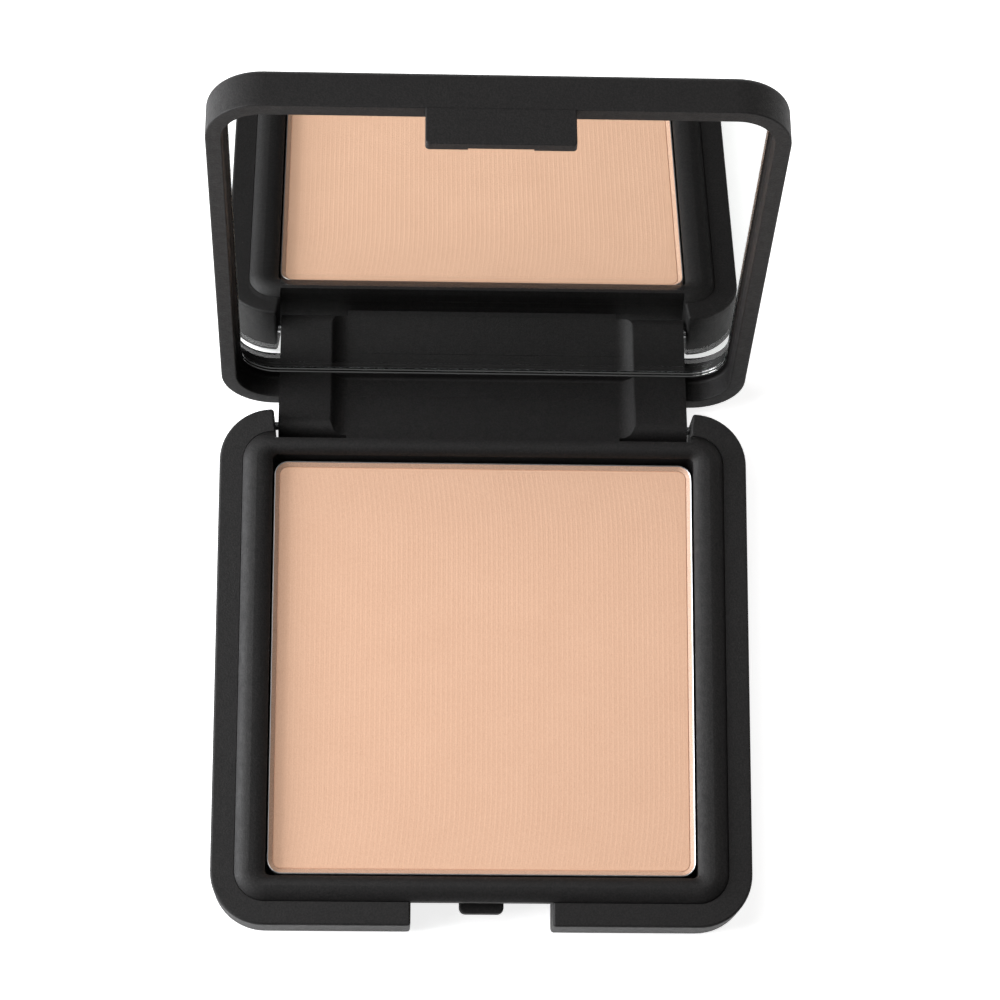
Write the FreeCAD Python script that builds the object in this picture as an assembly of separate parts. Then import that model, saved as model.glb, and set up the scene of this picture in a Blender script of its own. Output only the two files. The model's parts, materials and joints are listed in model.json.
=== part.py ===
import FreeCAD, Part
import math
import os

# Square powder compact, lid open. Millimetres, +X right, +Y to the hinge, +Z up.
# The origin is the centre of the bottom face. The lid is drawn shut, then swung open.

V = FreeCAD.Vector
UP = V(0, 0, 1)
RIGHT = V(1, 0, 0)

# ---- driving dimensions -------------------------------------------------------
width = 75.0                    # over the side walls
depth = 73.5                    # over the front and rear walls
corner_r = 7.5                  # plan corners of base and lid
ledge_z = 8.2                   # flat top of the base wall, where the lid lands
ledge_w = 3.26                  # width of that ledge
bottom_r = 1.45                 # round along the bottom edge of the base
edge_r = 0.35                   # round along the outer edge of the ledge
fine_r = 0.2                    # rounds on the smaller moulded edges
witness_w = 0.1                 # mould witness line at rim height, width and depth
witness_d = 0.04

seam = 0.2                      # gap between ledge and lid when shut
lid_h = 5.8                     # lid height above the seam
lid_wall = 2.15
lid_edge_r = 1.2                # round along the top edge of the lid
open_angle = 104.8              # lid opening, degrees

hinge_y = 35.4                  # hinge axis
hinge_z = 3.8
pin_r = 0.6
pin_play = 0.05                 # radial running clearance in the lid knuckles
pin_inner_x = 24.2
pin_outer_x = 31.8              # stops short of the lobe's rounded corner

# ---- base ---------------------------------------------------------------------
floor_t = 1.6                   # base floor
notch_r = 0.45                  # round corners of the base where the tab notch starts
notch_wall = 0.8                # thin walls that close the base behind its two notches
tab_notch_half = 9.81           # notch for the lid's tab, half width
tab_notch_y = -32.2             # how far back it is cut
hinge_notch_y = 32.34           # front of the notch for the hinge block
hinge_notch_front_half = 29.5   # half width at its front
hinge_notch_rear_half = 29.95   # and at the rear wall
lug_half = 3.1                  # catch lug in the tab notch
lug_y = -34.7
lug_z0 = 4.3
lug_z1 = 5.6
lug_r = 0.9
label_w = 46.0
label_d = 34.0
label_r = 2.5
label_t = 0.15

# ---- inner tray ---------------------------------------------------------------
tray_gap = 0.08                 # tray to base wall
tray_corner_r = 4.3
bead_h = 1.0                    # crest of the frame bead above the ledge
bead_rise_w = 2.0               # from the outer edge in to the crest
bead_inner_drop = 0.75          # from the crest down to the edge of the opening
flange_t = 1.5                  # thickness of the tray's edge below the ledge
open_half_x = 29.93             # opening that the pan sits in
open_front_y = -29.95
open_rear_y = 30.03
open_r = 0.8
well_wall = 1.2
tray_floor_t = 1.1
tray_lift = 0.8                 # hollow under the tray floor, inside its foot
peg_r = 1.2                     # locating pegs under the tray floor
peg_l = 0.8
peg_x = 22.0
peg_y = 22.0
peg_play = 0.06

# ---- pan and powder -----------------------------------------------------------
glue_t = 0.2
glue_r = 4.0
glue_pitch = 17.0
pan_half_x = 29.7
pan_front_y = -29.62
pan_rear_y = 29.22
pan_rim_z = 7.65
pan_wall = 0.4
pan_corner_r = 2.0
pan_bottom_r = 0.8
pan_lip_w = 0.75                # lip that leans in from the top of the wall
pan_lip_flat = 0.1              # level part of it, along the rim
pan_lip_drop = 0.45             # fall of its slope
pan_lip_h = 0.6                 # rim down to the underside of the lip
powder_below_rim = 0.4
powder_edge_r = 0.35

# ---- lid ----------------------------------------------------------------------
mirror_t = 1.1
mirror_depth = 3.2              # from the rim down to the glass
mirror_half_x = 34.8
mirror_front_y = -34.05
mirror_rear_y = 33.3
mirror_r = 5.0
mirror_play = 0.1
tape_t = 0.15
tape_inset = 3.0
block_half = 29.35              # hinge block, half width
block_face_y = 33.4
web_half = 19.65                # thinner middle of the block
web_depth = 1.2
web_slope_w = 2.4               # width of the slope from the web out to the block's face
web_lip_r = 0.5                 # round where the slope meets that face
web_end_z = 1.05
tab_half = 9.52
tab_t = 1.35
tab_l = 5.4
tab_corner_r = 0.5
tab_relief_half = 4.15          # shallow cut where the tab passes the lug
tab_relief = 0.25
catch_h = 0.62                  # ridge that lies under the lug when the lid is shut
catch_z0 = 3.66
catch_z1 = 4.1

# ---- worked out from those ----------------------------------------------------
half_x = width / 2
half_y = depth / 2
rim_z = ledge_z + seam
lid_top_z = rim_z + lid_h
groove_x = half_x - ledge_w
groove_y = half_y - ledge_w
mirror_z = rim_z + mirror_depth
tape_z = mirror_z + mirror_t
pocket_x = half_x - lid_wall
pocket_y = half_y - lid_wall
tray_floor_z = floor_t + tray_lift + tray_floor_t
pan_z = tray_floor_z + glue_t
crest_z = ledge_z + bead_h
knuckle_r = hinge_y - block_face_y


def outline(x0, x1, y0, y1, r, z):
    """Closed wire: a rectangle with round corners, in the plane at height z."""
    s = r * (1 - math.sqrt(0.5))
    edges = [
        Part.LineSegment(V(x0 + r, y0, z), V(x1 - r, y0, z)),
        Part.Arc(V(x1 - r, y0, z), V(x1 - s, y0 + s, z), V(x1, y0 + r, z)),
        Part.LineSegment(V(x1, y0 + r, z), V(x1, y1 - r, z)),
        Part.Arc(V(x1, y1 - r, z), V(x1 - s, y1 - s, z), V(x1 - r, y1, z)),
        Part.LineSegment(V(x1 - r, y1, z), V(x0 + r, y1, z)),
        Part.Arc(V(x0 + r, y1, z), V(x0 + s, y1 - s, z), V(x0, y1 - r, z)),
        Part.LineSegment(V(x0, y1 - r, z), V(x0, y0 + r, z)),
        Part.Arc(V(x0, y0 + r, z), V(x0 + s, y0 + s, z), V(x0 + r, y0, z)),
    ]
    return Part.Wire([edge.toShape() for edge in edges])


def block(x0, x1, y0, y1, z0, z1, r=0.0):
    """Upright block, with round plan corners if r is given."""
    if r == 0.0:
        return Part.makeBox(x1 - x0, y1 - y0, z1 - z0, V(x0, y0, z0))
    return Part.Face(outline(x0, x1, y0, y1, r, z0)).extrude(V(0, 0, z1 - z0))


def plate(half_w, half_d, r, z0, z1):
    """Upright block centred on the Z axis."""
    return block(-half_w, half_w, -half_d, half_d, z0, z1, r)


def level_edges(shape, z, inside=None):
    """The edges of shape that lie at height z, and whose middle passes the test if given."""
    found = []
    for edge in shape.Edges:
        box = edge.BoundBox
        if abs(box.ZMin - z) > 1e-4 or abs(box.ZMax - z) > 1e-4:
            continue
        if inside and not inside(edge.CenterOfMass):
            continue
        found.append(edge)
    return found


def upright_edges(shape, length, inside):
    """The vertical edges of shape at least that long whose middle passes the test."""
    found = []
    for edge in shape.Edges:
        box = edge.BoundBox
        if box.ZLength < length or box.XLength > 1e-4 or box.YLength > 1e-4:
            continue
        if inside(edge.CenterOfMass):
            found.append(edge)
    return found


def solid_of(shape):
    """The one solid in shape, with split faces joined up again."""
    clean = shape.removeSplitter()
    if len(clean.Solids) != 1:
        raise ValueError("expected one solid, found %d" % len(clean.Solids))
    return clean.Solids[0]


def rod(radius, x0, x1):
    """Cylinder on the hinge axis between two stations along X."""
    return Part.makeCylinder(radius, x1 - x0, V(x0, hinge_y, hinge_z), RIGHT)


def plan_prism(points, z0, z1):
    """Upright prism over a plan polygon."""
    corners = [V(x, y, z0) for x, y in points]
    return Part.Face(Part.makePolygon(corners + corners[:1])).extrude(V(0, 0, z1 - z0))


# ---- base body ----------------------------------------------------------------

def outside_groove(centre):
    """True for a point beyond the outline of the tray."""
    return abs(centre.x) > groove_x + 0.01 or abs(centre.y) > groove_y + 0.01


def hinge_notch():
    """Space between the two rear lobes, slightly wider at the rear wall."""
    return plan_prism([
        (-hinge_notch_front_half, hinge_notch_y),
        (hinge_notch_front_half, hinge_notch_y),
        (hinge_notch_rear_half, half_y),
        (hinge_notch_rear_half, half_y + 1),
        (-hinge_notch_rear_half, half_y + 1),
        (-hinge_notch_rear_half, half_y),
    ], -1, ledge_z + 2)


def base_shell():
    """Outer moulding of the base: floor, thick wall, two notches and the catch lug."""
    body = plate(half_x, half_y, corner_r, 0, ledge_z)
    body = body.makeFillet(bottom_r, level_edges(body, 0))
    body = body.cut(plate(groove_x, groove_y, tray_corner_r, floor_t, ledge_z + 1))

    under_flange = ledge_z - flange_t - tray_gap
    side = tab_notch_half + notch_wall
    lining = block(-side, side, -half_y + 1, tab_notch_y + notch_wall, floor_t, under_flange)
    body = body.fuse(lining)
    lining = block(-hinge_notch_rear_half - notch_wall, hinge_notch_rear_half + notch_wall,
                   hinge_notch_y - notch_wall, groove_y + 0.5, floor_t, under_flange)
    body = body.fuse(lining)
    body = body.cut(block(-tab_notch_half, tab_notch_half, -half_y - 1, tab_notch_y,
                          -1, ledge_z + 1))
    body = body.cut(hinge_notch()).removeSplitter()
    body = body.makeFillet(notch_r, upright_edges(
        body, 4, lambda c: abs(c.y + half_y) < 0.01 and abs(c.x) < tab_notch_half + 0.01
        or abs(c.y - half_y) < 0.01 and abs(c.x) < hinge_notch_rear_half + 0.01))
    body = body.makeFillet(edge_r, level_edges(body, ledge_z, outside_groove))

    lug = block(-lug_half, lug_half, lug_y, tab_notch_y + notch_wall / 2, lug_z0, lug_z1)
    lug = lug.makeFillet(lug_r, upright_edges(lug, 1, lambda c: c.y < lug_y + 0.01))
    lug = lug.makeFillet(0.3, level_edges(lug, lug_z1, lambda c: c.y < tab_notch_y - 0.1))
    body = body.fuse(lug)

    for sign in (-1, 1):
        inner = sign * (hinge_notch_front_half - 1)
        outer = sign * pin_outer_x
        body = body.cut(rod(pin_r, min(inner, outer), max(inner, outer)))
        for row in (-1, 1):
            body = body.cut(Part.makeCylinder(peg_r + peg_play, peg_l + 0.1,
                                              V(sign * peg_x, row * peg_y,
                                                floor_t - peg_l - 0.1), UP))
    body = body.cut(plate(label_w / 2 + 0.2, label_d / 2 + 0.2, label_r, -1, label_t))
    return solid_of(body)


def bottom_label():
    """Blank paper label, flush in the shallow recess under the base."""
    return plate(label_w / 2, label_d / 2, label_r, 0, label_t)


def bead_outline(inset, z):
    """Outline of the tray's edge, moved inwards by inset."""
    x = groove_x - tray_gap - inset
    y = groove_y - tray_gap - inset
    return outline(-x, x, -y, y, tray_corner_r - tray_gap - inset, z)


def opening_outline(reach, z):
    """Outline of the tray's opening, moved outwards as far as the crest at reach 1."""
    to_side = (groove_x - tray_gap - bead_rise_w - open_half_x) * reach
    to_front = (groove_y - tray_gap - bead_rise_w + open_front_y) * reach
    to_rear = (groove_y - tray_gap - bead_rise_w - open_rear_y) * reach
    return outline(-open_half_x - to_side, open_half_x + to_side,
                   open_front_y - to_front, open_rear_y + to_rear,
                   open_r + to_front, z)


def inner_tray():
    """Drop-in tray: convex frame round the opening, and the well that holds the pan."""
    under_z = ledge_z - flange_t
    flange_x = groove_x - tray_gap
    flange_y = groove_y - tray_gap
    body = plate(flange_x, flange_y, tray_corner_r - tray_gap, under_z, ledge_z)

    # outer slope of the bead: an arc that is level at the crest
    steps = 8
    inner_sweep = math.radians(60)
    slope_angle = 2 * math.atan2(bead_h, bead_rise_w)
    slope_r = bead_rise_w / math.sin(slope_angle)
    rings = []
    for i in range(steps + 1):
        a = slope_angle * (1 - i / steps)
        rings.append(bead_outline(bead_rise_w - slope_r * math.sin(a),
                                  crest_z - slope_r * (1 - math.cos(a))))
    body = body.fuse(Part.makeLoft(rings, True, False))

    # inner slope: part of an ellipse, level at the crest, down to the edge of the opening
    rings = []
    for i in range(steps, -1, -1):
        a = inner_sweep * i / steps
        reach = 1 - math.sin(a) / math.sin(inner_sweep)
        drop = bead_inner_drop * (1 - math.cos(a)) / (1 - math.cos(inner_sweep))
        rings.append(opening_outline(reach, crest_z - drop))
    body = body.cut(Part.makeLoft(rings, True, False))

    well = block(-open_half_x - well_wall, open_half_x + well_wall,
                 open_front_y - well_wall, open_rear_y + well_wall,
                 floor_t, under_z + 0.5, open_r + well_wall)
    body = body.fuse(well)
    body = body.cut(block(-open_half_x, open_half_x, open_front_y, open_rear_y,
                          tray_floor_z, crest_z + 1, open_r))
    body = body.cut(block(-open_half_x, open_half_x, open_front_y, open_rear_y,
                          floor_t - 1, floor_t + tray_lift, open_r))
    body = body.cut(hinge_notch())
    for sign in (-1, 1):
        for row in (-1, 1):
            body = body.fuse(Part.makeCylinder(peg_r, peg_l + tray_lift + 0.2,
                                               V(sign * peg_x, row * peg_y,
                                                 floor_t - peg_l), UP))
    return solid_of(body)


def pan_adhesive():
    """Five dots of glue between the pan and the tray floor."""
    dots = []
    for x, y in ((0, 0), (-1, -1), (1, -1), (-1, 1), (1, 1)):
        dots.append(Part.makeCylinder(glue_r, glue_t,
                                      V(x * glue_pitch, y * glue_pitch, tray_floor_z), UP))
    return Part.makeCompound(dots)


def pan_outline(inset, z):
    """Outline of the pan, moved inwards by inset."""
    return outline(-pan_half_x + inset, pan_half_x - inset,
                   pan_front_y + inset, pan_rear_y - inset, pan_corner_r - inset, z)


def pan_block(inset, z0, z1):
    """Upright block over that outline."""
    return Part.Face(pan_outline(inset, z0)).extrude(V(0, 0, z1 - z0))


def pan_hollow():
    """Room inside the pan, below its lip."""
    floor_z = pan_z + pan_wall
    room = pan_block(pan_wall, floor_z, pan_rim_z - pan_lip_h)
    return room.makeFillet(pan_bottom_r - pan_wall, level_edges(room, floor_z))


def powder_pan():
    """Pressed aluminium pan with round bottom edges and a sloping lip turned in at the rim."""
    body = pan_block(0, pan_z, pan_rim_z)
    body = body.makeFillet(pan_bottom_r, level_edges(body, pan_z))
    body = body.cut(pan_hollow())
    body = body.cut(pan_block(pan_lip_w, pan_z + 1, pan_rim_z + 1))
    slope = Part.makeLoft([pan_outline(pan_lip_w, pan_rim_z - pan_lip_drop),
                           pan_outline(pan_lip_flat, pan_rim_z)], True, True)
    return solid_of(body.cut(slope))


def pressed_powder():
    """Cake of pressed powder that fills the pan to just below the rim."""
    top = pan_rim_z - powder_below_rim
    crown = pan_block(pan_lip_w, pan_z + 1, top)
    crown = crown.makeFillet(powder_edge_r, level_edges(crown, top))
    return solid_of(pan_hollow().fuse(crown))


def hinge_pin(sign):
    """Steel pin, pressed into a lobe of the base and running in the lid's knuckle."""
    body = rod(pin_r, min(sign * pin_inner_x, sign * pin_outer_x),
               max(sign * pin_inner_x, sign * pin_outer_x))
    return body.makeChamfer(0.12, [e for e in body.Edges if e.Curve.TypeId == "Part::GeomCircle"])


# ---- lid body, drawn shut -----------------------------------------------------

def web_recess():
    """Hollow in the block's inner face: each side is a concave arc that ends in a small round lip."""
    face = block_face_y
    back = block_face_y + web_depth
    edge_x = web_half + web_slope_w
    front = face - 1
    turn = 2 * math.atan2(web_depth, web_slope_w)
    hollow_r = web_slope_w / math.sin(turn) - web_lip_r

    def hollow(a):
        return web_half + hollow_r * math.sin(a), back - hollow_r * (1 - math.cos(a))

    def lip(a):
        return edge_x - web_lip_r * math.sin(a), face + web_lip_r * (1 - math.cos(a))

    side = [hollow(0), hollow(turn / 2), hollow(turn), lip(turn / 2), lip(0)]
    right = [V(x, y, 0) for x, y in side]
    left = [V(-x, y, 0) for x, y in side]
    path = [
        Part.LineSegment(left[0], right[0]),
        Part.Arc(right[0], right[1], right[2]),
        Part.Arc(right[2], right[3], right[4]),
        Part.LineSegment(right[4], V(edge_x, front, 0)),
        Part.LineSegment(V(edge_x, front, 0), V(-edge_x, front, 0)),
        Part.LineSegment(V(-edge_x, front, 0), left[4]),
        Part.Arc(left[4], left[3], left[2]),
        Part.Arc(left[2], left[1], left[0]),
    ]
    return Part.Face(Part.Wire([piece.toShape() for piece in path])).extrude(V(0, 0, mirror_z))


def witness_slab(x0, x1, y0, y1):
    """Thin slab at rim height, where the mould's halves meet and leave a fine line."""
    return block(x0, x1, y0, y1, rim_z - witness_w / 2, rim_z + witness_w / 2)


def hinge_block():
    """Block across the back of the lid, with a round end about the hinge axis."""
    body = block(-block_half, block_half, block_face_y, half_y, hinge_z, mirror_z + 0.5)
    end = rod(knuckle_r, -block_half, block_half)
    end = end.cut(block(-half_x, half_x, half_y, half_y + 5, -5, hinge_z + 5))
    body = body.fuse(end)
    body = body.cut(web_recess())
    line = web_recess().translated(V(0, witness_d, 0))
    body = body.cut(line.common(witness_slab(-half_x, half_x, 0, half_y)))
    web = block(-web_half, web_half, block_face_y + web_depth, half_y, web_end_z, hinge_z)
    return body.fuse(web)


def tab():
    """Front tab that drops over the catch lug and is lifted with a fingertip."""
    end_z = rim_z - tab_l
    inner_y = -half_y + tab_t
    body = block(-tab_half, tab_half, -half_y, inner_y, end_z, rim_z + 0.5)
    corners = [e for e in body.Edges if e.BoundBox.YLength > 1 and e.BoundBox.ZMax < end_z + 0.01]
    body = body.makeFillet(tab_corner_r, corners)
    outer = [e for e in body.Edges if e.BoundBox.YMax < -half_y + 0.01
             and e.BoundBox.ZMin < rim_z - 0.5]
    body = body.makeFillet(fine_r, outer)
    ridge = block(-tab_relief_half, tab_relief_half, inner_y - 0.5, inner_y + catch_h,
                  catch_z0, catch_z1)
    ridge = ridge.makeFillet(0.15, [e for e in ridge.Edges
                                    if e.BoundBox.XLength > 1 and e.BoundBox.YMin > inner_y])
    body = body.cut(block(-tab_relief_half, tab_relief_half, inner_y - tab_relief, inner_y + 1,
                          end_z - 1, catch_z0))
    body = body.fuse(ridge)
    return body.cut(witness_slab(-tab_half, tab_half, -half_y - 1, -half_y + witness_d))


def lid_shell():
    """Lid moulding: shallow cover, mirror seat, hinge block and tab in one piece."""
    body = plate(half_x, half_y, corner_r, rim_z, lid_top_z)
    body = body.makeFillet(lid_edge_r, level_edges(body, lid_top_z))
    pocket = plate(pocket_x, pocket_y, corner_r - lid_wall, rim_z - 1, mirror_z)
    pocket = pocket.makeFillet(0.4, level_edges(pocket, mirror_z))
    body = body.cut(pocket)
    seat_x = mirror_half_x + mirror_play
    body = body.cut(block(-seat_x, seat_x, mirror_front_y - mirror_play, mirror_rear_y + 0.1,
                          mirror_z - 1, tape_z + tape_t, mirror_r + mirror_play))
    body = body.makeFillet(fine_r, level_edges(body, rim_z))
    body = body.fuse(hinge_block())
    body = body.fuse(tab())
    for sign in (-1, 1):
        inner = sign * (pin_inner_x - 0.3)
        outer = sign * half_x
        body = body.cut(rod(pin_r + pin_play, min(inner, outer), max(inner, outer)))
    return solid_of(body)


def mirror():
    """Silvered glass plate with round corners."""
    body = block(-mirror_half_x, mirror_half_x, mirror_front_y, mirror_rear_y,
                 mirror_z, tape_z, mirror_r)
    return body.makeChamfer(0.15, level_edges(body, mirror_z))


def mirror_tape():
    """Double-sided foam tape between the mirror and the lid."""
    return block(-mirror_half_x + tape_inset, mirror_half_x - tape_inset,
                 mirror_front_y + tape_inset, mirror_rear_y - tape_inset,
                 tape_z, tape_z + tape_t, mirror_r - 1)


def swung_open(shape):
    """The shape turned from shut to fully open about the hinge axis."""
    turned = shape.copy()
    turned.rotate(V(0, hinge_y, hinge_z), RIGHT, -open_angle)
    return turned


parts = {
    "base_shell": base_shell(),
    "bottom_label": bottom_label(),
    "inner_tray": inner_tray(),
    "pan_adhesive": pan_adhesive(),
    "powder_pan": powder_pan(),
    "pressed_powder": pressed_powder(),
    "hinge_pin_left": hinge_pin(-1),
    "hinge_pin_right": hinge_pin(1),
    "lid_shell": swung_open(lid_shell()),
    "mirror": swung_open(mirror()),
    "mirror_tape": swung_open(mirror_tape()),
}

os.makedirs("parts", exist_ok=True)
for name, shape in parts.items():
    shape.exportStep("parts/%s.step" % name)
    box = shape.BoundBox
    print("%-16s %2d solid(s)  valid %s  volume %9.1f  x %.2f..%.2f  y %.2f..%.2f  z %.2f..%.2f"
          % (name, len(shape.Solids), shape.isValid(), shape.Volume,
             box.XMin, box.XMax, box.YMin, box.YMax, box.ZMin, box.ZMax))
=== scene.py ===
import json
import math

import bmesh
import bpy
from mathutils import Matrix, Vector


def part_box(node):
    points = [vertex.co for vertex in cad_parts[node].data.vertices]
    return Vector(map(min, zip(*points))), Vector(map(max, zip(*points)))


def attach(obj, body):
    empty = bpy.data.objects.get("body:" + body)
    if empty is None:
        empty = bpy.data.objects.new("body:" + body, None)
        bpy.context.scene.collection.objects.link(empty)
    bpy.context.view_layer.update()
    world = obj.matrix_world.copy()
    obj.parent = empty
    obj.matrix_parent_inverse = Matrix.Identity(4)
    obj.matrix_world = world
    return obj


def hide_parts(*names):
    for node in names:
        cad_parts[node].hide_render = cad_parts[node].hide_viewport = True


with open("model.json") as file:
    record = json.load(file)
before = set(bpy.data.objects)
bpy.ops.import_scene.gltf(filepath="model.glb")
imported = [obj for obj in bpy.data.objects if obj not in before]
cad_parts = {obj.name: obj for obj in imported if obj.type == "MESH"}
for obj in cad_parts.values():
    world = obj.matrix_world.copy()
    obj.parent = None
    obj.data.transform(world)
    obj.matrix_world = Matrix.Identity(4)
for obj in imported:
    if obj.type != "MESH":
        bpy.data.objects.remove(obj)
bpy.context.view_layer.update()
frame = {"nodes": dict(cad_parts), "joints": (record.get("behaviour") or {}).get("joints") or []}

MM = 0.001
QUARTER = math.radians(90)
SHARP = math.radians(35)  # edges that turn more than this stay crisp
LIP_REACH = 0.35 * MM  # how far the pan's lip leans in past its wall
GLASS_IOR = 1.52

hinge = frame["joints"][0]
hinge_at = Vector(hinge["pos_m"])
open_angle = math.radians(hinge["range_deg"][1])


# ---------------------------------------------------------------- node helpers

def new_material(name):
    """A material with its node tree, its Principled node and the object coordinates in metres."""
    mat = bpy.data.materials.new(name)
    mat.use_nodes = True
    tree = mat.node_tree
    coords = tree.nodes.new("ShaderNodeTexCoord")
    return mat, tree, tree.nodes["Principled BSDF"], coords.outputs["Object"]


def noise(tree, coords, size, detail=2.0, stretch=(1, 1, 1)):
    """Noise whose grains are about size metres across, stretched along an axis if asked."""
    mapping = tree.nodes.new("ShaderNodeMapping")
    mapping.inputs["Scale"].default_value = [1 / size / s for s in stretch]
    node = tree.nodes.new("ShaderNodeTexNoise")
    node.inputs["Scale"].default_value = 1.0
    node.inputs["Detail"].default_value = detail
    tree.links.new(coords, mapping.inputs["Vector"])
    tree.links.new(mapping.outputs["Vector"], node.inputs["Vector"])
    return node.outputs["Fac"]


def ramp(tree, value, low, high, start=0.3, end=0.7):
    """A colour or grey that runs from low, where value is start, to high, where it is end."""
    node = tree.nodes.new("ShaderNodeValToRGB")
    for element, position, colour in zip(node.color_ramp.elements, (start, end), (low, high)):
        rgb = colour if isinstance(colour, tuple) else (colour,) * 3
        element.position = position
        element.color = (*rgb, 1.0)
    tree.links.new(value, node.inputs["Fac"])
    return node.outputs["Color"]


def multiplied(tree, a, b):
    """Two colours multiplied."""
    node = tree.nodes.new("ShaderNodeMix")
    node.data_type = "RGBA"
    node.blend_type = "MULTIPLY"
    node.inputs[0].default_value = 1.0
    tree.links.new(a, node.inputs[6])
    tree.links.new(b, node.inputs[7])
    return node.outputs[2]


def added(tree, a, b, share):
    """Value a plus that share of value b."""
    node = tree.nodes.new("ShaderNodeMath")
    node.operation = "MULTIPLY_ADD"
    tree.links.new(b, node.inputs[0])
    node.inputs[1].default_value = share
    tree.links.new(a, node.inputs[2])
    return node.outputs[0]


def relief(tree, bsdf, height, depth, strength):
    """Bump of that depth in metres from height, 0 to 1."""
    node = tree.nodes.new("ShaderNodeBump")
    node.inputs["Strength"].default_value = strength
    node.inputs["Distance"].default_value = depth
    tree.links.new(height, node.inputs["Height"])
    tree.links.new(node.outputs["Normal"], bsdf.inputs["Normal"])


# ------------------------------------------------------------------- materials

def soft_touch_black(name, dark, light, satin, matt):
    """Moulded black plastic with a fine eroded grain, whose glints and pit shade are painted into its
    colour, its roughness between satin and matt.
    """
    pit_size, pit_depth, patch_size, cloud_size = 0.24 * MM, 0.05 * MM, 0.9 * MM, 2.6 * MM
    mat, tree, bsdf, at = new_material(name)
    pits = noise(tree, at, pit_size, 3.0)
    tone = ramp(tree, noise(tree, at, cloud_size, 3.0), dark, light)
    # Painted light: the speck ramp makes the colour light on the grain between the pits, as painted
    # glints, and dark in the pits, as painted shade.
    speck = ramp(tree, pits, 0.12, 1.0, 0.38, 0.62)
    gloss = ramp(tree, noise(tree, at, patch_size, 4.0), satin, matt)
    tree.links.new(multiplied(tree, tone, speck), bsdf.inputs["Base Color"])
    tree.links.new(gloss, bsdf.inputs["Roughness"])
    bsdf.inputs["Specular IOR Level"].default_value = 0.43
    relief(tree, bsdf, pits, pit_depth, 0.9)
    return mat


def powder_material():
    """Dry pressed powder: grains, and short strands printed by the pressing cloth."""
    grain_size, strand_size, cloud_size, depth = 0.16 * MM, 0.3 * MM, 7.0 * MM, 0.02 * MM
    mat, tree, bsdf, at = new_material("pressed_powder")
    grain = noise(tree, at, grain_size, 3.0)
    strand = noise(tree, at, strand_size, 2.0, (0.55, 1.6, 1.0))
    cloud = noise(tree, at, cloud_size, 3.0)
    tone = ramp(tree, cloud, (0.875, 0.553, 0.384), (0.900, 0.575, 0.402))
    speck = ramp(tree, grain, (0.92, 0.895, 0.875), 1.0)
    line = ramp(tree, strand, (0.965, 0.935, 0.915), 1.0, 0.3, 0.65)
    colour = multiplied(tree, multiplied(tree, tone, speck), line)
    tree.links.new(colour, bsdf.inputs["Base Color"])
    bsdf.inputs["Roughness"].default_value = 0.92
    bsdf.inputs["Specular IOR Level"].default_value = 0.25
    relief(tree, bsdf, added(tree, strand, grain, 0.6), depth, 0.6)
    return mat


def metal(name, low, high, smooth, rough, stretch=(1, 1, 1)):
    """Pressed or ground metal with fine lines along its stretch."""
    line_size, line_depth, stain_size = 0.12 * MM, 0.004 * MM, 3.0 * MM
    mat, tree, bsdf, at = new_material(name)
    lines = noise(tree, at, line_size, 4.0, stretch)
    stain = noise(tree, at, stain_size, 3.0)
    tree.links.new(ramp(tree, stain, low, high), bsdf.inputs["Base Color"])
    tree.links.new(ramp(tree, lines, smooth, rough), bsdf.inputs["Roughness"])
    bsdf.inputs["Metallic"].default_value = 1.0
    relief(tree, bsdf, lines, line_depth, 0.5)
    return mat


def clear_glass():
    """Float glass with a faint green cast."""
    mat, tree, bsdf, at = new_material("float_glass")
    tint = ramp(tree, noise(tree, at, 9.0 * MM), (0.985, 0.995, 0.99), (0.99, 0.998, 0.994))
    tree.links.new(tint, bsdf.inputs["Base Color"])
    bsdf.inputs["Roughness"].default_value = 0.0
    bsdf.inputs["IOR"].default_value = GLASS_IOR
    bsdf.inputs["Transmission Weight"].default_value = 1.0
    return mat


def ground_glass():
    """The ground arris, dull and chipped."""
    chip_size, chip_depth = 0.35 * MM, 0.08 * MM
    mat, tree, bsdf, at = new_material("ground_glass_edge")
    chips = noise(tree, at, chip_size, 4.0)
    tint = ramp(tree, chips, (0.42, 0.47, 0.46), (0.80, 0.84, 0.83))
    tree.links.new(tint, bsdf.inputs["Base Color"])
    tree.links.new(ramp(tree, chips, 0.18, 0.5, 0.35, 0.7), bsdf.inputs["Roughness"])
    bsdf.inputs["IOR"].default_value = GLASS_IOR
    bsdf.inputs["Transmission Weight"].default_value = 0.45
    relief(tree, bsdf, chips, chip_depth, 0.8)
    return mat


def silver_layer():
    """The silver behind the glass, a perfect mirror with a very slight cloud."""
    mat, tree, bsdf, at = new_material("silver_layer")
    tint = ramp(tree, noise(tree, at, 12.0 * MM), (0.972, 0.976, 0.972), (0.980, 0.984, 0.980))
    tree.links.new(tint, bsdf.inputs["Base Color"])
    bsdf.inputs["Metallic"].default_value = 1.0
    bsdf.inputs["Roughness"].default_value = 0.0
    return mat


def matt_sheet(name, low, high, grain_size, roughness, depth):
    """Paper, foam, glue or powder dust: a matt surface with its own grain."""
    mat, tree, bsdf, at = new_material(name)
    grain = noise(tree, at, grain_size, 5.0)
    tree.links.new(ramp(tree, grain, low, high), bsdf.inputs["Base Color"])
    bsdf.inputs["Roughness"].default_value = roughness
    relief(tree, bsdf, grain, depth, 0.6)
    return mat


# --------------------------------------------------------------- mesh helpers

def quarter_round(radius, steps=6):
    """Steps in and up round a foot of that radius, from its flat floor to its upright wall."""
    angles = [QUARTER * i / steps for i in range(steps + 1)]
    return [(radius * (1 - math.sin(a)), radius * (1 - math.cos(a))) for a in angles]


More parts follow.
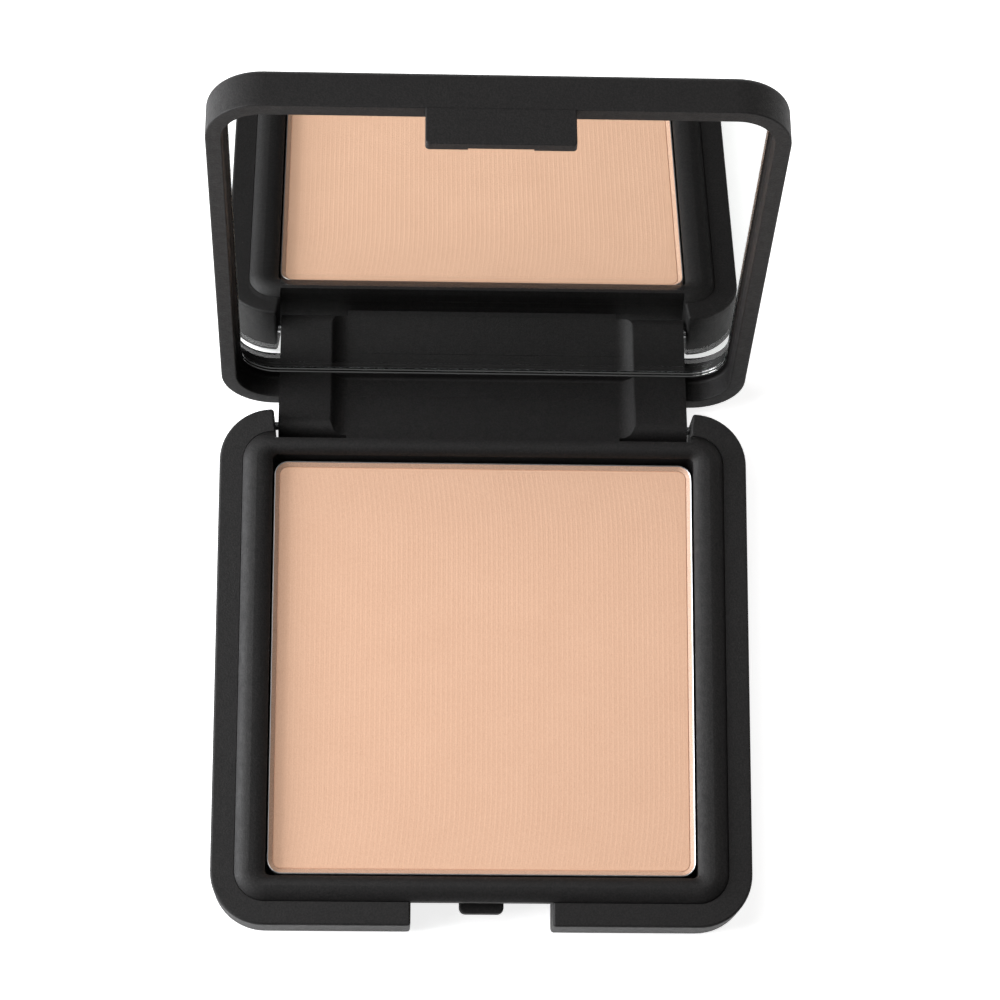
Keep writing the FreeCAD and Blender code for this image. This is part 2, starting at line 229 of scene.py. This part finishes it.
def rounded_ring(lo, hi, radius, inset, z, turns=12):
    """Points round a rectangle with rounded corners, set in from its box by inset."""
    x0, x1, y0, y1 = lo.x + inset, hi.x - inset, lo.y + inset, hi.y - inset
    r = max(radius - inset, 0.02 * MM)
    centres = ((x1 - r, y1 - r), (x0 + r, y1 - r), (x0 + r, y0 + r), (x1 - r, y0 + r))
    points = []
    for corner, (cx, cy) in enumerate(centres):
        for i in range(turns + 1):
            a = QUARTER * (corner + i / turns)
            points.append(Vector((cx + r * math.cos(a), cy + r * math.sin(a), z)))
    return points


def made_object(name, bm, materials):
    """An object from a bmesh, with its sharp edges marked."""
    for edge in bm.edges:
        if len(edge.link_faces) == 2 and edge.calc_face_angle(0) > SHARP:
            edge.smooth = False
    mesh = bpy.data.meshes.new(name)
    bm.to_mesh(mesh)
    bm.free()
    for mat in materials:
        mesh.materials.append(mat)
    obj = bpy.data.objects.new(name, mesh)
    bpy.context.scene.collection.objects.link(obj)
    return obj


def lofted(name, rings, materials, band_slots, cap_slots=(0, 0)):
    """A closed skin through rings of equal length, with flat caps on the first and last."""
    bm = bmesh.new()
    loops = [[bm.verts.new(p) for p in ring] for ring in rings]
    n = len(rings[0])
    for slot, a, b in zip(band_slots, loops, loops[1:]):
        for i in range(n):
            j = (i + 1) % n
            face = bm.faces.new((a[i], a[j], b[j], b[i]))
            face.smooth = True
            face.material_index = slot
    for slot, loop in zip(cap_slots, (loops[0], loops[-1])):
        bm.faces.new(loop).material_index = slot
    bmesh.ops.recalc_face_normals(bm, faces=bm.faces)
    return made_object(name, bm, materials)


def place(piece, body, node):
    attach(piece, body)
    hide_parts(node)


# ------------------------------------------------------------------------ pan

def build_pan():
    """Pressed pan: rounded foot, straight wall, and a lip that slopes in and down to the powder."""
    lo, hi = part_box("powder_pan")
    powder_lo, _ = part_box("pressed_powder")
    wall = powder_lo.x - lo.x
    corner, foot = 2.0 * MM, 0.8 * MM
    lip, lip_bend, lip_drop, lip_under = wall + LIP_REACH, 0.25 * MM, 0.45 * MM, 0.6 * MM
    # The rolled rim, as millimetres in from the wall's outside and down from the top.
    rim = ((0.0, 0.09), (0.025, 0.025), (0.08, 0.0), (0.13, 0.015), (0.18, 0.05))
    profile = [(inward, lo.z + up) for inward, up in quarter_round(foot)]
    profile += [(inward * MM, hi.z - down * MM) for inward, down in rim]
    rim_end = len(profile) - 1
    profile += [((profile[rim_end][0] + lip) / 2, hi.z - lip_bend), (lip, hi.z - lip_drop)]
    profile += [(lip, hi.z - lip_under), (wall, hi.z - lip_under)]
    inner_foot = quarter_round(foot - wall)
    profile += [(wall + inward, lo.z + wall + up) for inward, up in reversed(inner_foot)]
    rings = [rounded_ring(lo, hi, corner, inset, z) for inset, z in profile]
    bands = [int(k >= rim_end) for k in range(len(profile) - 1)]
    finishes = [
        metal("pressed_aluminium", (0.84, 0.84, 0.85), (0.93, 0.93, 0.94), 0.28, 0.42),
        matt_sheet("dusted_lip", (0.50, 0.31, 0.21), (0.72, 0.47, 0.34), 0.15 * MM, 0.55, 0.02 * MM),
    ]
    place(lofted("pan_pressed_sheet", rings, finishes, bands), "base", "powder_pan")


# --------------------------------------------------------------------- powder

def rib_height(x, y):
    """Height of the cloth print, in rib heights: ribs along Y that lean over at both ends."""
    pitch, straight, half_length, lean = 0.71 * MM, 17.0 * MM, 29.3 * MM, 1.1 * MM
    past = max(0.0, (abs(y) - straight) / (half_length - straight))
    phase = 2 * math.pi * (x + lean * past * past) / pitch
    unevenness = 0.8 + 0.1 * math.sin(y / (2.3 * MM) + x / (1.9 * MM))
    return unevenness * math.cos(phase) + 0.7 * math.cos(2 * phase + 0.8)


def spaced(half, end_steps, end_width, step):
    """Positions from -half to half, about step apart, with a number of end steps by each end."""
    inner = half - end_width
    n = max(2, round(2 * inner / step))
    ends = [inner + end_width * i / end_steps for i in range(1, end_steps + 1)]
    middle = [-inner + 2 * inner * i / n for i in range(n + 1)]
    return [-e for e in reversed(ends)] + middle + ends


def past_corner(x, y, half, corner):
    """How far a point lies past a corner's centre, along X and along Y."""
    return abs(x) - (half.x - corner), abs(y) - (half.y - corner)


def powder_top(bm, centre, half, corner, top):
    """The ribbed face, with its soft shoulder; gives its border vertices in order."""
    shoulder, rib, rib_fade = 0.12 * MM, 0.0046 * MM, 1.0 * MM
    crest = 1.4 * rib  # about how far the ribs rise over their middle height
    xs = spaced(half.x, 6, 0.6 * MM, 0.0888 * MM)
    ys = spaced(half.y, 12, 1.8 * MM, 0.66 * MM)
    grid = []
    for y in ys:
        past = max(0.0, abs(y) - (half.y - corner))
        row_half = half.x - corner + math.sqrt(max(corner * corner - past * past, 0.0))
        row = []
        for x in [u * row_half / half.x for u in xs]:
            qx, qy = past_corner(x, y, half, corner)
            inside = corner - (math.hypot(qx, qy) if qx > 0 and qy > 0 else max(qx, qy))
            dip = max(0.0, 1 - inside / shoulder)
            drop = shoulder * (1 - math.sqrt(max(0.0, 1 - dip * dip)))
            fade = min(1.0, inside / rib_fade)
            z = top - crest - drop + rib * fade * rib_height(x, y)
            row.append(bm.verts.new((centre.x + x, centre.y + y, z)))
        grid.append(row)
    for a, b in zip(grid, grid[1:]):
        for i in range(len(xs) - 1):
            bm.faces.new((a[i], a[i + 1], b[i + 1], b[i])).smooth = True
    right, left = [row[-1] for row in grid[1:-1]], [row[0] for row in grid[1:-1]]
    return grid[0] + right + grid[-1][::-1] + left[::-1]


def outward_step(v, centre, half, corner):
    """The step of one lip's reach from a border vertex, square to the border."""
    x, y = v.co.x - centre.x, v.co.y - centre.y
    qx, qy = (max(0.0, q) for q in past_corner(x, y, half, corner))
    return Vector((math.copysign(qx, x), math.copysign(qy, y), 0)).normalized() * LIP_REACH


def build_powder():
    """The pressed cake: ribbed top in the lip's opening, a step out under the lip, and a flat foot."""
    lo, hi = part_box("pressed_powder")
    centre, half = (lo + hi) / 2, (hi - lo) / 2
    half -= Vector((LIP_REACH, LIP_REACH, 0))
    corner = 1.25 * MM
    under_lip = hi.z - 0.2 * MM
    bm = bmesh.new()
    border = powder_top(bm, centre, half, corner, hi.z)
    outward = [outward_step(v, centre, half, corner) for v in border]
    skirt = [border]
    for reach, z in ((0, under_lip), (1, under_lip), (1, lo.z)):
        skirt.append([bm.verts.new((v.co.x + reach * o.x, v.co.y + reach * o.y, z))
                      for v, o in zip(border, outward)])
    for upper, lower in zip(skirt, skirt[1:]):
        for i in range(len(border)):
            j = (i + 1) % len(border)
            bm.faces.new((upper[j], upper[i], lower[i], lower[j]))
    bm.faces.new(skirt[-1])
    bmesh.ops.triangulate(bm, faces=[f for f in bm.faces if len(f.verts) > 4])
    bmesh.ops.recalc_face_normals(bm, faces=bm.faces)
    place(made_object("powder_cake", bm, [powder_material()]), "base", "pressed_powder")


# --------------------------------------------------------------------- mirror

def build_mirror():
    """Float glass with a ground front arris, silvered on the back, drawn in the shut lid."""
    to_hinge = Matrix.Translation(hinge_at)
    shut = to_hinge @ Matrix.Rotation(open_angle, 4, "X") @ to_hinge.inverted()
    points = [shut @ v.co for v in frame["nodes"]["mirror"].data.vertices]
    lo = Vector([min(p[i] for p in points) for i in range(3)])
    hi = Vector([max(p[i] for p in points) for i in range(3)])
    corner, arris, paint = 5.0 * MM, 0.05 * MM, 0.02 * MM
    back = hi.z - paint
    arris_steps = ((arris, 0.0), (arris * 0.35, arris * 0.5), (0.0, arris))
    profile = [(inset, lo.z + up) for inset, up in arris_steps]
    profile += [(inset, back - down) for inset, down in reversed(arris_steps)]
    rings = [rounded_ring(lo, hi, corner, inset, z, 20) for inset, z in profile]
    clear, ground, silver = 0, 1, 2
    bands = [ground, ground, clear, clear, clear]
    finishes = [clear_glass(), ground_glass(), silver_layer()]
    glass = lofted("mirror_glass", rings, finishes, bands, (clear, silver))
    glass.data.transform(shut.inverted())
    place(glass, "lid", "mirror")


# ------------------------------------------------------------ CAD nodes' looks

def finish_cad_nodes():
    """Materials for the nodes that keep their CAD shape."""
    shell = soft_touch_black(
        "soft_touch_black", (0.0080, 0.0066, 0.0066), (0.0106, 0.0090, 0.0090), 0.60, 0.70)
    tray = soft_touch_black(
        "tray_black", (0.0077, 0.0063, 0.0063), (0.0102, 0.0086, 0.0086), 0.58, 0.68)
    label = matt_sheet(
        "blank_label", (0.74, 0.74, 0.73), (0.82, 0.82, 0.80), 0.25 * MM, 0.7, 0.02 * MM)
    glue = matt_sheet(
        "hot_melt", (0.66, 0.60, 0.46), (0.76, 0.71, 0.58), 0.8 * MM, 0.45, 0.05 * MM)
    tape = matt_sheet(
        "foam_tape", (0.72, 0.72, 0.70), (0.84, 0.84, 0.82), 0.2 * MM, 0.85, 0.04 * MM)
    steel = metal(
        "ground_steel", (0.50, 0.50, 0.51), (0.60, 0.60, 0.61), 0.2, 0.34, (8, 1, 1))
    looks = {
        "base_shell": shell,
        "lid_shell": shell,
        "inner_tray": tray,
        "bottom_label": label,
        "pan_adhesive": glue,
        "mirror_tape": tape,
        "hinge_pin_left": steel,
        "hinge_pin_right": steel,
    }
    for node, finish in looks.items():
        materials = frame["nodes"][node].data.materials
        materials.clear()
        materials.append(finish)


# ---------------------------------------------------------------------- stage

def build_floor():
    """A plain pale floor that glows a little, which lightens the shadow."""
    half_side, cloud_size = 3.0, 40 * MM
    bm = bmesh.new()
    bmesh.ops.create_grid(bm, x_segments=8, y_segments=8, size=half_side)
    mat, tree, bsdf, at = new_material("pale_floor")
    tint = ramp(tree, noise(tree, at, cloud_size, 3.0), 0.88, 0.90)
    tree.links.new(tint, bsdf.inputs["Base Color"])
    bsdf.inputs["Roughness"].default_value = 0.8
    bsdf.inputs["Emission Color"].default_value = (1.0, 1.0, 1.0, 1.0)
    bsdf.inputs["Emission Strength"].default_value = 0.8
    made_object("floor", bm, [mat])


def softbox(name, at, radiance, tint=(1.0, 1.0, 1.0)):
    """A square area light of that radiance, facing the object."""
    side = 0.36
    lamp = bpy.data.lights.new(name, "AREA")
    lamp.shape = "SQUARE"
    lamp.size = side
    lamp.energy = radiance * math.pi * side * side
    lamp.color = tint
    obj = bpy.data.objects.new(name, lamp)
    obj.location = at
    obj.rotation_euler = (-Vector(at)).to_track_quat("-Z", "Y").to_euler()
    bpy.context.scene.collection.objects.link(obj)


def build_lights():
    """Two softboxes on the left, a weaker one above the lid and a faint fill on the right."""
    cool, warm = (0.955, 0.972, 1.0), (1.0, 0.96, 0.93)
    softbox("key_left_low", (-0.628, 0.0, 0.168), 14.7, cool)
    softbox("key_left", (-0.498, 0.0, 0.418), 4.2)
    softbox("top_left_rear", (-0.216, 0.216, 0.574), 3.7)
    softbox("fill_right", (0.436, 0.305, 0.373), 1.3, warm)


def build_world():
    """A faint even light from all round."""
    world = bpy.data.worlds.new("studio")
    world.use_nodes = True
    sky = world.node_tree.nodes["Background"]
    sky.inputs["Color"].default_value = (1.0, 1.0, 1.0, 1.0)
    sky.inputs["Strength"].default_value = 0.08
    bpy.context.scene.world = world


def build_camera():
    """A long lens nearly half a metre up, looking down on the open compact."""
    tilt, roll, turn = 14.103, -2.166, 0.138
    data = bpy.data.cameras.new("camera")
    data.lens = 119.2
    data.sensor_width = 36.0
    data.clip_start, data.clip_end = 0.01, 20.0
    camera = bpy.data.objects.new("camera", data)
    camera.location = (-14.60 * MM, -90.85 * MM, 463.70 * MM)
    camera.rotation_euler = [math.radians(a) for a in (tilt, roll, turn)]
    bpy.context.scene.collection.objects.link(camera)
    bpy.context.scene.camera = camera


build_pan()
build_powder()
build_mirror()
finish_cad_nodes()
build_floor()
build_world()
build_lights()
build_camera()
bpy.context.scene.view_settings.view_transform = "Standard"
